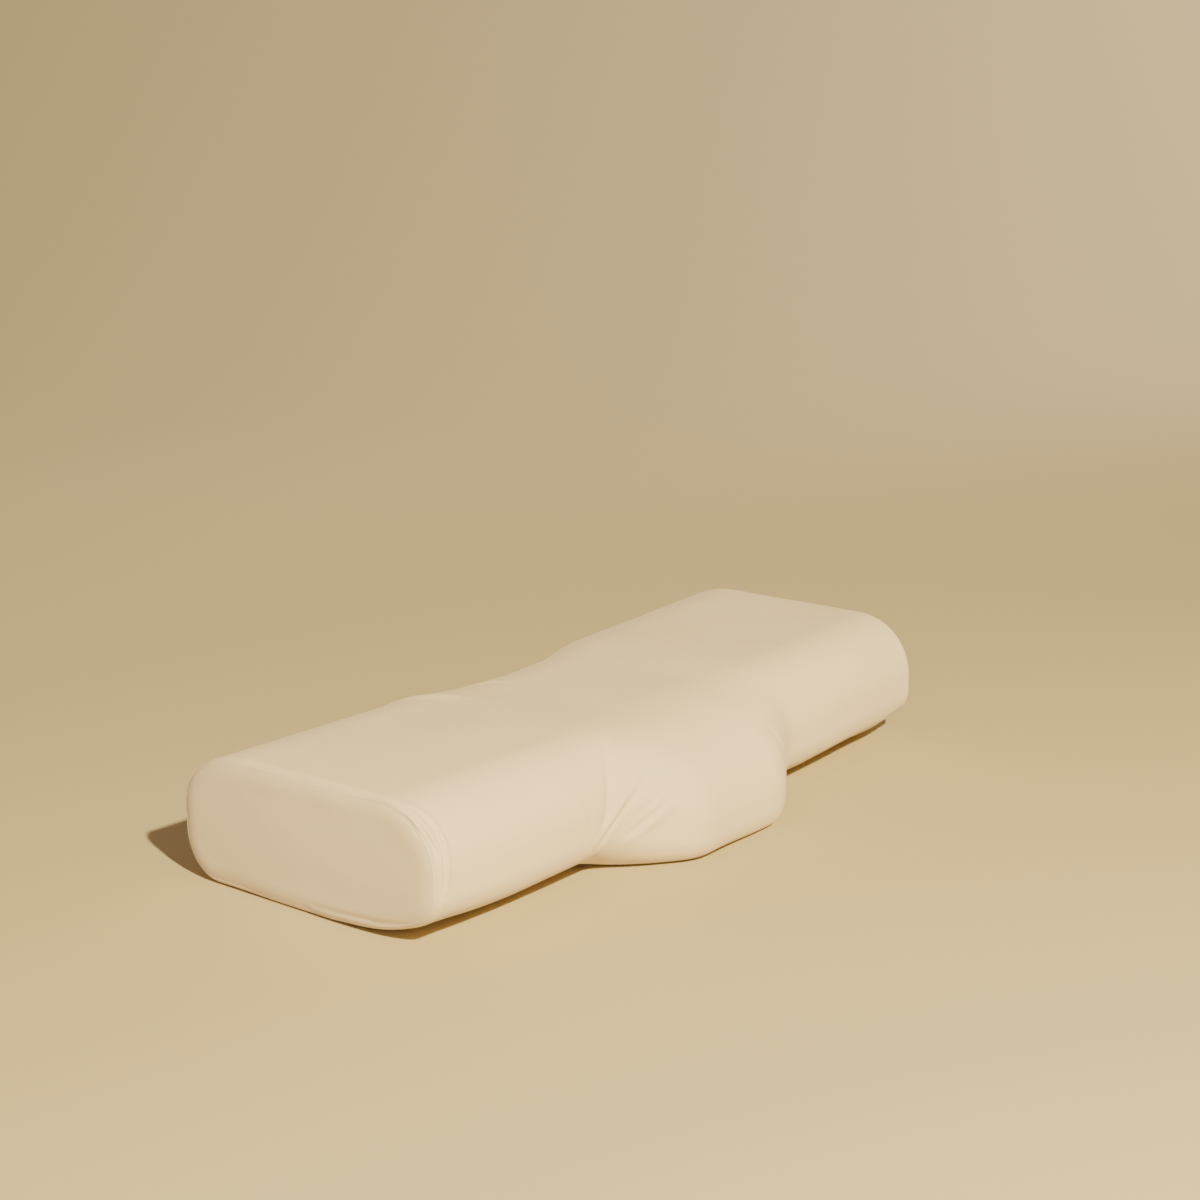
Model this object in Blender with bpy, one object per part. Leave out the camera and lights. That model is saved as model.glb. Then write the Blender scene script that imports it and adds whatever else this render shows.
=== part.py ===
# Contoured neck pillow: a butterfly shaped foam core in a thin knitted liner, inside a zipped fabric cover.
# Frame: X along the pillow, -Y on the side of the neck bulge, +Z up, and the origin on the floor under the
# middle of the pillow. All sizes are in metres and all angles in degrees.

import math

import bmesh
import bpy
import numpy as np

# Overall size
length = 0.600
height = 0.0986

# Plan outline: two wings, the neck bulge in front, and a shallow shoulder recess behind. The bulge's flank
# on the +X side is the steeper one.
wing_front = -0.1006
wing_swell = 0.0082
bulge = 0.0418
bulge_flat = 0.0516
bulge_foot = 0.1149
bulge_flat_far = 0.0475
bulge_foot_far = 0.0995
bulge_soft = 0.0120
wing_back = 0.1427
back_flare = 0.0173
back_recess = 0.0078
recess_flat = 0.0442
recess_foot = 0.1053

# Corners of the cross-section: size along Y, and size along Z as a share of the height
corner_power = 2.11
front_top_wing = (0.0524, 0.506)
front_top_bulge = (0.1000, 0.743)
front_base_wing = (0.0766, 0.376)
front_base_bulge = (0.0168, 0.196)
back_top = (0.0659, 0.483)
back_base = (0.0337, 0.385)
corner_turns = (0.0, 15.0, 30.0, 45.0, 60.0, 75.0, 90.0)

# Rounding where the long faces turn into the end faces: a quarter ellipse
end_round_x = 0.0075
end_round_side = 0.0168
end_middle_turn = 66.0
dish_turn = 18.0

# Layers, measured inwards from the cover's outer face
gap = 0.0003
cover_thick = 0.0012
liner_inset = 0.0024
liner_thick = 0.0006
liner_step = 0.0020
foam_inset = 0.0033
foam_step = 0.0030

# Seams
seam_radius = 0.00075
end_seam_x = 0.00125
end_seam_side = 0.00605
panel_rim_turn = 46.0
cap_rim_turn = 35.0
base_seam_turn = 60.0

# Zip in the base, in a relief groove that keeps the slider off the floor
zip_y = 0.030
zip_half = 0.209
groove_half_width = 0.030
groove_depth = 0.0050
inner_groove_depth = 0.0076
groove_marks = (1.0, 0.7, 0.4)
groove_fade = 0.050
slot_half_width = 0.0048
slot_end = 0.224
slot_fade = 0.010
tape_width = 0.0120
tape_thick = 0.0005
tape_end = 0.0120
tape_bend = 0.0080
teeth_inner = 0.00055
teeth_outer = 0.0025
teeth_thick = 0.0020
stop_length = 0.0025
stop_proud = 0.0002
stop_edge = 0.0003
stitch_side = 0.0068
stitch_size = 0.0005
stitch_gap = 0.0001

# Slider, its bridge and the pull tab
slider_x = -0.2025
slider_length = 0.0110
slider_half_width = 0.0042
slider_plate = 0.0009
slider_lip = 0.0006
slider_lip_room = 0.0006
slider_neck = 0.00025
bridge_length = 0.0070
bridge_width = 0.0012
bridge_height = 0.0025
bridge_wire = 0.0009
tab_length = 0.0240
tab_width = 0.0062
tab_thick = 0.0010
tab_bar = 0.0010
tab_eye_end = 0.0052
tab_eye_width = 0.0036
tab_room = 0.0002
tab_points = 24

# Heights of the zip's layers above the floor
tape_base = groove_depth + cover_thick + gap
teeth_base = tape_base + (tape_thick - teeth_thick) / 2
slider_base = teeth_base - gap - slider_plate
bridge_top = slider_base - gap
hinge_z = bridge_top - tab_room - tab_thick / 2


def clear_scene():
    for item in list(bpy.data.objects):
        bpy.data.objects.remove(item, do_unlink=True)


def make_material(name, colour, roughness, metallic=0.0):
    made = bpy.data.materials.new(name)
    made.use_nodes = True
    shader = made.node_tree.nodes["Principled BSDF"]
    shader.inputs["Base Color"].default_value = (*colour, 1.0)
    shader.inputs["Roughness"].default_value = roughness
    shader.inputs["Metallic"].default_value = metallic
    return made


def mesh_object(name, points, faces, finish):
    mesh = bpy.data.meshes.new(name)
    mesh.from_pydata([tuple(p) for p in points], [], faces)
    work = bmesh.new()
    work.from_mesh(mesh)
    bmesh.ops.recalc_face_normals(work, faces=work.faces)
    work.to_mesh(mesh)
    work.free()
    mesh.shade_smooth()
    mesh.set_sharp_from_angle(angle=math.radians(35))
    mesh.materials.append(finish)
    made = bpy.data.objects.new(name, mesh)
    bpy.context.scene.collection.objects.link(made)
    return made


def mix(a, b, share):
    return a * (1 - share) + b * share


# 0 below -soft and t above it, with a smooth bend between
def soft_bend(t, soft):
    if abs(t) < soft:
        return (t + soft) ** 2 / (4 * soft)
    return max(t, 0.0)


# 1 where |x| < flat and 0 where |x| > foot, with a straight ramp whose corners are rounded
def ramp_share(x, flat, foot, soft):
    fall = soft_bend(abs(x) - flat, soft) - soft_bend(abs(x) - foot, soft)
    return 1 - fall / (foot - flat)


# The same share with an S-shaped ramp
def smooth_share(x, flat, foot):
    t = min(max((foot - abs(x)) / (foot - flat), 0.0), 1.0)
    return t * t * (3 - 2 * t)


# Height of the base above the floor at y: a cosine groove over the zip
def groove_height(y, depth):
    reach = min(abs(y - zip_y) / groove_half_width, 1.0)
    return depth * 0.5 * (1 + math.cos(math.pi * reach))


# Half the width of the opening between the two base panels, which closes beyond the zip
def slot_half(x):
    share = min(max((slot_end + slot_fade - abs(x)) / slot_fade, 0.0), 1.0)
    return mix(gap / 2, slot_half_width, share)


# A quarter of a superellipse: its box's inner corner at (y, z), turning on from `start`
def corner(y, z, size, start, turns):
    angles = [math.radians(start + turn) for turn in turns]
    power = 2 / corner_power
    points = []
    for angle in angles:
        c = math.cos(angle)
        s = math.sin(angle)
        along = math.copysign(abs(c) ** power, c)
        above = math.copysign(abs(s) ** power, s)
        points.append((y + size[0] * along, z + size[1] * above))
    return points


# The turns of a base corner, with the two edges of the seam's slot in place of the turn at the seam
def base_turns(size, seam_at):
    angle = math.radians(seam_at)
    speed = math.hypot(size[0] * math.sin(angle), size[1] * math.cos(angle))
    half = math.degrees((seam_radius + gap) / speed)
    kept = [turn for turn in corner_turns if turn != seam_at]
    return sorted(kept + [seam_at - half, seam_at + half])


# A corner's size at x, shrunk by `side`
def corner_size(wing, middle, share, side):
    return mix(wing[0], middle[0], share) - side, mix(wing[1], middle[1], share) * height - side


# The pillow's closed outline at x, in the YZ plane and shrunk by `side`. It runs from the back face over
# the top, down the front and along the base, and its points are always the same in number and order.
def outline(x, side, groove):
    flat, foot = (bulge_flat_far, bulge_foot_far) if x > 0 else (bulge_flat, bulge_foot)
    share = ramp_share(x, flat, foot, bulge_soft)
    hollow = smooth_share(x, recess_flat, recess_foot)
    reach = min(2 * abs(x) / length, 1.0)
    front = wing_front - mix(wing_swell * (1 - reach * reach), bulge, share) + side
    back = wing_back - back_flare * (1 - reach) - back_recess * hollow - side
    base = side
    top = height - side
    bt = corner_size(back_top, back_top, 0, side)
    ft = corner_size(front_top_wing, front_top_bulge, share, side)
    fb = corner_size(front_base_wing, front_base_bulge, share, side)
    bb = corner_size(back_base, back_base, 0, side)
    depth = groove * smooth_share(x, slot_end, slot_end + groove_fade)
    steps = [groove_half_width * mark for mark in groove_marks] + [slot_half(x)]
    steps = [-step for step in steps] + steps[::-1]
    points = corner(back - bt[0], top - bt[1], bt, 0, corner_turns)
    points += corner(front + ft[0], top - ft[1], ft, 90, corner_turns)
    points += corner(front + fb[0], base + fb[1], fb, 180, base_turns(fb, base_seam_turn))
    points += [(zip_y + step, base + groove_height(zip_y + step, depth)) for step in steps]
    points += corner(back - bb[0], base + bb[1], bb, 270, base_turns(bb, 90 - base_seam_turn))
    return np.array(points)


# Where the outline's points change from one panel to the next
base_corner_points = len(corner_turns) + 1
front_seam = 2 * len(corner_turns) + 4
zip_slot = 2 * len(corner_turns) + base_corner_points + len(groove_marks)
back_seam = zip_slot + len(groove_marks) + 4


# Moves a closed outline inwards, keeping its facets parallel
def inset_outline(points, depth):
    edges = np.roll(points, -1, 0) - points
    edges = edges / np.linalg.norm(edges, axis=1)[:, None]
    inward = np.stack([-edges[:, 1], edges[:, 0]], 1)
    both = inward + np.roll(inward, 1, 0)
    both = both / np.linalg.norm(both, axis=1)[:, None]
    return points + both * (depth / (both * inward).sum(1))[:, None]


# The end rounding at a turn, 0 on the end face and 90 on the long faces: (distance in, shrink)
def end_rounding(turn):
    angle = math.radians(turn)
    return end_round_x * (1 - math.cos(angle)), end_round_side * (1 - math.sin(angle))


# (x, shrink) of each station along the pillow. They are closer on the slopes of the bulge.
def stations(first_turns, step):
    ends = [end_rounding(turn) for turn in (*first_turns, end_middle_turn, 90.0)]
    half = [(length / 2 - step - x, side) for x, side in ends]
    inner = (0.262, 0.234, 0.224, 0.185, 0.15, 0.127, 0.115, 0.103, 0.09, 0.077, 0.064, 0.052, 0.04, 0.02)
    half += [(x, 0.0) for x in inner]
    return [(-x, side) for x, side in half] + [(0.0, 0.0)] + half[::-1]


# The rings of one surface of a layer, as (x, points)
def rings(places, inset, groove):
    return [(x, inset_outline(outline(x, side, groove), inset)) for x, side in places]


# Side faces between rings of `size` points that start at point number `start`
def ring_faces(count, size, start=0):
    faces = []
    for row in range(start, start + (count - 1) * size, size):
        for j in range(size):
            k = (j + 1) % size
            faces.append((row + j, row + k, row + size + k, row + size + j))
    return faces


def spread(made_rings):
    return [(x, y, z) for x, points in made_rings for y, z in points]


# A solid through rings, with a flat face at each end
def solid(name, made_rings, finish):
    size = len(made_rings[0][1])
    count = len(made_rings)
    faces = ring_faces(count, size)
    faces.append(tuple(range(size)))
    faces.append(tuple(range((count - 1) * size, count * size)))
    return mesh_object(name, spread(made_rings), faces, finish)


# A tube with a wall between its outer and inner rings, open at both ends
def sleeve(name, outer, inner, finish):
    size = len(outer[0][1])
    count = len(outer)
    shift = count * size
    faces = ring_faces(count, size) + ring_faces(count, size, shift)
    for row in (0, shift - size):
        for j in range(size):
            k = (j + 1) % size
            faces.append((row + j, row + k, shift + row + k, shift + row + j))
    return mesh_object(name, spread(outer + inner), faces, finish)


# The part of a wall between two points of the outline
def panel(name, outer, inner, first, last, finish):
    size = len(outer[0][1])
    wide = (last - first) % size + 1
    picks = [(first + k) % size for k in range(wide)]
    strips = [(a[0], np.concatenate([a[1][picks], b[1][picks[::-1]]])) for a, b in zip(outer, inner)]
    total = 2 * wide
    faces = ring_faces(len(strips), total)
    for row in (0, (len(strips) - 1) * total):
        for j in range(wide - 1):
            faces.append((row + j, row + j + 1, row + total - 2 - j, row + total - 1 - j))
    return mesh_object(name, spread(strips), faces, finish)


# The cap over one end: a shallow dish whose rim follows the end rounding
def end_cap(name, hand, inset, step, thick, groove, finish):
    dish = []
    for turn in (0.0, dish_turn, cap_rim_turn):
        x, side = end_rounding(turn)
        points = inset_outline(outline(length / 2, side, groove), inset)
        dish.append((length / 2 - step - x, points))
    inner = [(x - thick, points) for x, points in dish]
    made = [(hand * x, points) for x, points in dish + inner[::-1]]
    return solid(name, made, finish)


# A cord of round section along a line of (centre, direction, other direction)
def cord(name, line, radius, closed, finish, sides=6):
    points = []
    for centre, u, v in line:
        for k in range(sides):
            angle = 2 * math.pi * k / sides
            points.append(centre + radius * (math.cos(angle) * u + math.sin(angle) * v))
    last = (len(line) - 1) * sides
    faces = ring_faces(len(line), sides)
    if closed:
        ends = [(j, (j + 1) % sides) for j in range(sides)]
        faces += [(last + j, last + k, k, j) for j, k in ends]
    else:
        faces += [tuple(range(sides)), tuple(range(last, last + sides))]
    return mesh_object(name, points, faces, finish)


# The seam that joins an end panel to the long panels, all round the end face
def end_seam(name, hand, finish):
    ring = outline(length / 2, end_seam_side, groove_depth)
    along = np.roll(ring, -1, 0) - np.roll(ring, 1, 0)
    along = along / np.linalg.norm(along, axis=1)[:, None]
    x = hand * (length / 2 - end_seam_x)
    line = []
    for (y, z), (ty, tz) in zip(ring, along):
        line.append((np.array((x, y, z)), np.array((1, 0, 0)), np.array((0, -tz, ty))))
    return cord(name, line, seam_radius, True, finish)


# A seam along the base, in the slot between two panels
def base_seam(name, outer, inner, first, finish):
    line = []
    for (x, a), (_, b) in zip(outer, inner):
        y, z = (a[first] + a[first + 1] + b[first] + b[first + 1]) / 4
        ty, tz = (a[first + 1] - a[first]) / np.linalg.norm(a[first + 1] - a[first])
        line.append((np.array((x, y, z)), np.array((0, ty, tz)), np.array((0, -tz, ty))))
    return cord(name, line, cover_thick / 2, False, finish)


# A bar that keeps one YZ section from one x to another
def bar(name, section, start, end, finish):
    return solid(name, [(start, section), (end, section)], finish)


# The rectangle between two distances from the zip's line, on the side `hand`
def zip_section(hand, near, far, low, high):
    y = sorted((zip_y + hand * near, zip_y + hand * far))
    return [(y[0], low), (y[1], low), (y[1], high), (y[0], high)]


# A zip tape lies on the inner face of its base panel and follows the groove
def zip_tape(name, hand, finish):
    marks = (teeth_outer + gap, slot_half_width, tape_bend, teeth_outer + tape_width)
    rise = cover_thick + gap
    low = [(zip_y + hand * m, groove_height(zip_y + m, groove_depth) + rise) for m in marks]
    high = [(y, z + tape_thick) for y, z in reversed(low)]
    reach = zip_half + tape_end
    return bar(name, low + high, -reach, reach, finish)


def zip_teeth(name, hand, finish):
    section = zip_section(hand, teeth_inner, teeth_outer, teeth_base, teeth_base + teeth_thick)
    return bar(name, section, -zip_half, zip_half, finish)


def zip_stop(name, start, near, far, finish):
    section = zip_section(1, near, far, teeth_base - stop_proud, teeth_base + teeth_thick + stop_proud)
    made = bar(name, section, start, start + stop_length, finish)
    edge = made.modifiers.new("edge", "BEVEL")
    edge.width = stop_edge
    edge.segments = 2
    return made


# A row of lockstitch beside the zip
def stitching(name, hand, finish):
    top = groove_height(zip_y + stitch_side, groove_depth) - gap - stitch_gap
    half = stitch_size / 2
    section = zip_section(hand, stitch_side - half, stitch_side + half, top - stitch_size, top)
    reach = zip_half + tape_end / 2
    return bar(name, section, -reach, reach, finish)


# The slider: two plates with turned-in lips round the teeth, joined by a thin neck between the rows
def zip_slider(name, finish):
    floor = teeth_base - gap
    roof = teeth_base + teeth_thick + gap
    top = roof + slider_plate
    lip_low = tape_base - slider_lip_room
    lip_high = tape_base + tape_thick + gap
    wide = slider_half_width
    lip = slider_half_width - slider_lip
    right = [(wide, slider_base), (wide, lip_low), (lip, lip_low), (lip, floor), (slider_neck, floor)]
    right += [(slider_neck, roof), (lip, roof), (lip, lip_high), (wide, lip_high), (wide, top)]
    left = [(-y, z) for y, z in reversed(right)]
    section = [(zip_y + y, z) for y, z in right + left]
    return bar(name, section, slider_x - slider_length / 2, slider_x + slider_length / 2, finish)


# The bridge that holds the pull tab: an arch under the slider's outer plate
def slider_bridge(name, finish):
    half = bridge_length / 2
    low = bridge_top - bridge_height
    cut = bridge_wire / 2
    outer = [(-half, bridge_top), (-half, low + cut), (-half + cut, low)]
    outer += [(half - cut, low), (half, low + cut), (half, bridge_top)]
    inside = half - bridge_wire
    inner = [(-inside, bridge_top), (-inside, low + bridge_wire + cut), (-inside + cut, low + bridge_wire)]
    inner += [(inside - cut, low + bridge_wire), (inside, low + bridge_wire + cut), (inside, bridge_top)]
    points = []
    for side in (-bridge_width / 2, bridge_width / 2):
        points += [(slider_x + x, zip_y + side, z) for x, z in outer + inner]
    size = len(outer)
    total = 2 * size
    faces = []
    for j in range(size - 1):
        faces.append((j, j + 1, size + j + 1, size + j))
        faces.append((total + j, total + j + 1, total + size + j + 1, total + size + j))
        faces.append((j, j + 1, total + j + 1, total + j))
        faces.append((size + j, size + j + 1, total + size + j + 1, total + size + j))
    for j in (0, size - 1):
        faces.append((j, size + j, total + size + j, total + j))
    return mesh_object(name, points, faces, finish)


# A rounded rectangle as points round (x, y)
def rounded(x, y, half_x, half_y):
    points = []
    for k in range(tab_points):
        angle = 2 * math.pi * (k + 0.5) / tab_points
        c = math.cos(angle)
        s = math.sin(angle)
        wide = math.copysign(abs(c) ** 0.5, c)
        deep = math.copysign(abs(s) ** 0.5, s)
        points.append((x + half_x * wide, y + half_y * deep))
    return points


# The pull tab: a rounded plate whose eye goes round one leg of the bridge. Its own origin is on its hinge.
def pull_tab(name, finish):
    start = -tab_bar / 2
    outline_points = rounded((start + tab_length) / 2, 0, (tab_length - start) / 2, tab_width / 2)
    eye = rounded((tab_eye_end - start) / 2, 0, (tab_eye_end + start) / 2, tab_eye_width / 2)
    points = []
    for z in (-tab_thick / 2, tab_thick / 2):
        points += [(x, y, z) for x, y in outline_points + eye]
    size = tab_points
    total = 2 * size
    faces = []
    for j in range(size):
        k = (j + 1) % size
        faces.append((j, k, size + k, size + j))
        faces.append((total + j, total + k, total + size + k, total + size + j))
        faces.append((j, k, total + k, total + j))
        faces.append((size + j, size + k, total + size + k, total + size + j))
    made = mesh_object(name, points, faces, finish)
    made.location = (slider_x, zip_y, hinge_z)
    return made


def make_core(foam, knit):
    solid("foam_core", rings(stations((0.0, 35.0), foam_step), foam_inset, inner_groove_depth), foam)
    places = stations((panel_rim_turn,), liner_step)
    outer = rings(places, liner_inset, inner_groove_depth)
    inner = rings(places, liner_inset + liner_thick, inner_groove_depth)
    sleeve("liner_sleeve", outer, inner, knit)
    for name, hand in (("liner_end_left", -1), ("liner_end_right", 1)):
        end_cap(name, hand, liner_inset, liner_step, liner_thick, inner_groove_depth, knit)


def make_cover(fabric, thread):
    places = stations((panel_rim_turn,), 0.0)
    outer = rings(places, 0.0, groove_depth)
    inner = rings(places, cover_thick, groove_depth)
    panel("cover_top_panel", outer, inner, back_seam + 1, front_seam, fabric)
    panel("cover_base_front", outer, inner, front_seam + 1, zip_slot, fabric)
    panel("cover_base_back", outer, inner, zip_slot + 1, back_seam, fabric)
    base_seam("seam_base_front", outer, inner, front_seam, thread)
    base_seam("seam_base_back", outer, inner, back_seam, thread)
    for side, hand in (("left", -1), ("right", 1)):
        end_cap("cover_end_" + side, hand, 0.0, 0.0, cover_thick, groove_depth, fabric)
        end_seam("seam_end_" + side, hand, thread)


def make_zip(tape, nylon, metal, thread):
    for side, hand in (("front", -1), ("back", 1)):
        zip_tape("zip_tape_" + side, hand, tape)
        zip_teeth("zip_teeth_" + side, hand, nylon)
        stitching("zip_stitching_" + side, hand, thread)
    start = -zip_half - gap - stop_length
    zip_stop("zip_top_stop_front", start, -teeth_outer, -teeth_inner, metal)
    zip_stop("zip_top_stop_back", start, teeth_inner, teeth_outer, metal)
    zip_stop("zip_bottom_stop", zip_half + gap, -teeth_outer, teeth_outer, metal)
    slide = bpy.data.objects.new("slider_axis", None)
    slide.location = (slider_x, zip_y, hinge_z)
    bpy.context.scene.collection.objects.link(slide)
    bpy.context.view_layer.update()
    moving = [zip_slider("zip_slider", metal), slider_bridge("zip_slider_bridge", metal)]
    moving.append(pull_tab("zip_pull_tab", metal))
    for made in moving:
        made.parent = slide
        made.matrix_parent_inverse = slide.matrix_world.inverted()


def main():
    clear_scene()
    fabric = make_material("cover_fabric", (0.78, 0.70, 0.59), 0.92)
    knit = make_material("liner_knit", (0.86, 0.86, 0.84), 0.95)
    foam = make_material("core_foam", (0.90, 0.86, 0.74), 0.98)
    thread = make_material("seam_thread", (0.80, 0.73, 0.62), 0.85)
    tape = make_material("zip_tape", (0.76, 0.69, 0.58), 0.90)
    nylon = make_material("zip_nylon", (0.82, 0.77, 0.68), 0.45)
    metal = make_material("zip_metal", (0.62, 0.62, 0.60), 0.32, 1.0)
    make_core(foam, knit)
    make_cover(fabric, thread)
    make_zip(tape, nylon, metal, thread)


main()
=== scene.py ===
# Contoured neck pillow: the knitted cover, its liner, the foam core and the zip, built round the CAD frame.
# Metres, +Z up. X runs along the pillow, the neck bulge is on the -Y side and the floor is at z = 0.

import math

import bmesh
import bpy
import numpy as np
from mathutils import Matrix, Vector


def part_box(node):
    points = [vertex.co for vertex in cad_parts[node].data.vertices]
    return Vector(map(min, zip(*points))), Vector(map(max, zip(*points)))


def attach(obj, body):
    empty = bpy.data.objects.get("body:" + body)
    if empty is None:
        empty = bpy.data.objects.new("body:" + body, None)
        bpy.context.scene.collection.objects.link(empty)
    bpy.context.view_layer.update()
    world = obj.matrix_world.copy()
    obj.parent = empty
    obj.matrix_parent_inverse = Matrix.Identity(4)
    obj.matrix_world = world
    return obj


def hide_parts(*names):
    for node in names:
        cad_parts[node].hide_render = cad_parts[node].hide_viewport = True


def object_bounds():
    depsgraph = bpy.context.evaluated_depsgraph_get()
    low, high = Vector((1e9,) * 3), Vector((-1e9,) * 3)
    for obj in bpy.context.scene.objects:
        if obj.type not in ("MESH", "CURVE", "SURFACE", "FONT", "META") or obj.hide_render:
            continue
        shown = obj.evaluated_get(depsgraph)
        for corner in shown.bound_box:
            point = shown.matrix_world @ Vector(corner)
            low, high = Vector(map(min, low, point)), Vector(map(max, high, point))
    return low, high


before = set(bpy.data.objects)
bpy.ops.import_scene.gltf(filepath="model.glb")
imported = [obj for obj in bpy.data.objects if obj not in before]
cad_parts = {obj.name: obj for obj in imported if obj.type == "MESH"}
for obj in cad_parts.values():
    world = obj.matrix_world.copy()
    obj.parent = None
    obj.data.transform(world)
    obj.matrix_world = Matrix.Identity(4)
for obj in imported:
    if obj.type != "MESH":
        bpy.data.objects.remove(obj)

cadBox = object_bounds()
scene = bpy.context.scene

# The pillow's own shape. Corners are (size along Y, size along Z as a share of the height).
pillow = {
    "length": cadBox[1].x - cadBox[0].x,
    "height": cadBox[1].z,
    "frontRise": 0.0033,        # the front top edge stands higher than the back
    "middleDip": 0.0020,        # the top is lower between the shoulder recess and the bulge
    "wingFront": -0.1006,
    "wingSwell": 0.0082,
    "bulge": 0.0418,
    "bulgeFlat": 0.0516,        # the bulge stands full out this far from the middle
    "bulgeFlatFar": 0.0475,     # the same on the +X side, whose flank is steeper
    "bulgeFoot": 0.1149,
    "bulgeFootFar": 0.0995,
    "bulgeSoft": 0.0120,
    "wingBack": 0.1427,
    "backFlare": 0.0173,
    "backRecess": 0.0078,
    "recessFlat": 0.0442,
    "recessFoot": 0.1053,
    "cornerPower": 2.11,
    "frontTopWing": (0.0524, 0.506),
    "frontTopBulge": (0.1000, 0.743),
    "frontBaseWing": (0.0766, 0.376),
    "frontBaseBulge": (0.0168, 0.196),
    "backTop": (0.0659, 0.483),
    "backBase": (0.0337, 0.385),
    "endLift": 0.0048,          # the base stands this far off the floor at the two front corners
    "endLiftFrom": 0.052,
    "endLiftFront": -0.070,     # full height in front of this y, none behind the middle
    "edgeWave": 0.0020,         # the lower front edge rises and falls by this, once in each waveLength
    "waveLength": 0.118,
    "waveFrom": -0.205,
    "endRoundX": 0.0075,
    "endRoundSide": 0.0168,
    "zipY": 0.030,
    "grooveHalf": 0.030,
    "grooveDepth": 0.0050,
    "grooveEnd": 0.224,
    "grooveFade": 0.050,
    "slotHalf": 0.0048,
    "slotFade": 0.010,
}

# Cloth and foam layers, measured inwards from the cover's face
layers = {
    "cover": 0.0012,
    "coverCrown": 0.0010,       # the end faces swell out by this in the middle
    "linerCrown": 0.0008,
    "innerRelief": 0.6,         # the share of the cover's relief that the liner and foam follow
    "liner": 0.0024,
    "linerThick": 0.0006,
    "linerStep": 0.0020,
    "foam": 0.0036,
    "foamStep": 0.0032,
    "innerGroove": 0.0076,
    "panelRim": 51.0,           # degrees round the end rounding where the long panels stop
    "capRim": 49.8,             # and where the end panels stop
    "endSeamTurn": 50.4,        # the end seam lies between them
    "endSeamSunk": 0.00012,
    "baseSeamSunk": 0.0005,
    "stitch": 0.0026,           # the seams swell once in this length
    "seamTurn": 60.0,           # degrees round the base corners where the base seams run
    "seamRadius": 0.00042,
    "endSeamRadius": 0.00036,
    "seamRoom": 0.00012,
    "floorRoom": 0.0001,        # the cloth is pressed flat at this height where it would reach the floor
}

# Creases of the cover: a line of points on the cloth, half the width of the valley, its depth, and the
# height of the roll beside it at so many widths across (positive is to the right when looking along the line
# from outside)
creases = [
    {"line": [(-0.298, 0.014, 0.0085), (-0.2986, -0.01, 0.0092), (-0.2988, -0.03, 0.0104),
              (-0.2987, -0.05, 0.012), (-0.2982, -0.072, 0.016)],
     "half": 0.0014, "depth": 0.001, "roll": 0.0009, "across": -2.0},
    {"line": [(-0.2962, -0.05, 0.097), (-0.2964, -0.073, 0.091), (-0.2958, -0.088, 0.08),
              (-0.2954, -0.094, 0.0715)],
     "half": 0.0009, "depth": 0.0006, "roll": 0.00045, "across": 2.0},
    {"line": [(-0.2944, -0.08, 0.0895), (-0.2948, -0.0895, 0.082), (-0.2942, -0.095, 0.0745),
              (-0.2925, -0.0985, 0.068)],
     "half": 0.001, "depth": 0.0013, "roll": 0.0009, "across": 2.0},
    {"line": [(-0.2915, -0.072, 0.0955), (-0.2875, -0.086, 0.0868), (-0.2878, -0.0945, 0.078),
              (-0.2884, -0.0985, 0.069), (-0.2897, -0.1005, 0.059), (-0.2915, -0.101, 0.046)],
     "half": 0.0014, "depth": 0.0018, "roll": 0.0013, "across": 1.9},
    {"line": [(-0.1495, -0.103, 0.07), (-0.1445, -0.106, 0.059), (-0.144, -0.1075, 0.048)],
     "half": 0.003, "depth": 0.0005, "roll": 0.0002, "across": -2.0},
    {"line": [(-0.099, -0.082, 0.094), (-0.115, -0.0995, 0.08), (-0.1215, -0.1055, 0.067),
              (-0.128, -0.1075, 0.05), (-0.134, -0.107, 0.036)],
     "half": 0.0038, "depth": 0.0019, "roll": 0.0008, "across": 2.2},
    {"line": [(-0.086, -0.114, 0.0735), (-0.102, -0.1125, 0.061), (-0.114, -0.1098, 0.05),
              (-0.125, -0.1078, 0.0395), (-0.137, -0.1055, 0.028)],
     "half": 0.0021, "depth": 0.0021, "roll": 0.0015, "across": -2.2},
    {"line": [(-0.079, -0.1225, 0.062), (-0.09, -0.12, 0.054), (-0.102, -0.1155, 0.046)],
     "half": 0.0017, "depth": 0.0016, "roll": 0.0008, "across": 2.2},
    {"line": [(-0.074, -0.127, 0.057), (-0.0875, -0.1225, 0.0475), (-0.0985, -0.1175, 0.04),
              (-0.109, -0.111, 0.032)],
     "half": 0.0019, "depth": 0.0017, "roll": 0.0013, "across": 2.4},
    {"line": [(0.057, -0.1185, 0.076), (0.06, -0.125, 0.064), (0.065, -0.127, 0.052)],
     "half": 0.004, "depth": 0.0006, "roll": 0.0004, "across": 2.0},
    {"line": [(-0.123, 0.105, 0.089), (-0.106, 0.078, 0.0975), (-0.093, 0.056, 0.0975)],
     "half": 0.0065, "depth": -0.0023, "roll": 0.0, "across": 1.0},
    {"line": [(-0.06, 0.088, 0.089), (-0.048, 0.074, 0.095), (-0.04, 0.06, 0.096)],
     "half": 0.0034, "depth": 0.001, "roll": 0.0008, "across": 2.0},
]

# Slow unevenness of the stuffed cloth: wave lengths along X and round the section, height, and phases
softness = [
    {"alongX": 0.118, "alongYZ": 0.09, "height": 0.0002, "turnX": 0.6, "turnYZ": 1.1},
    {"alongX": 0.071, "alongYZ": 0.133, "height": 0.00013, "turnX": 2.9, "turnYZ": 0.4},
    {"alongX": 0.043, "alongYZ": 0.061, "height": 0.00005, "turnX": 1.7, "turnYZ": 2.3},
]


def mix(a, b, share):
    return a * (1 - share) + b * share


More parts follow.
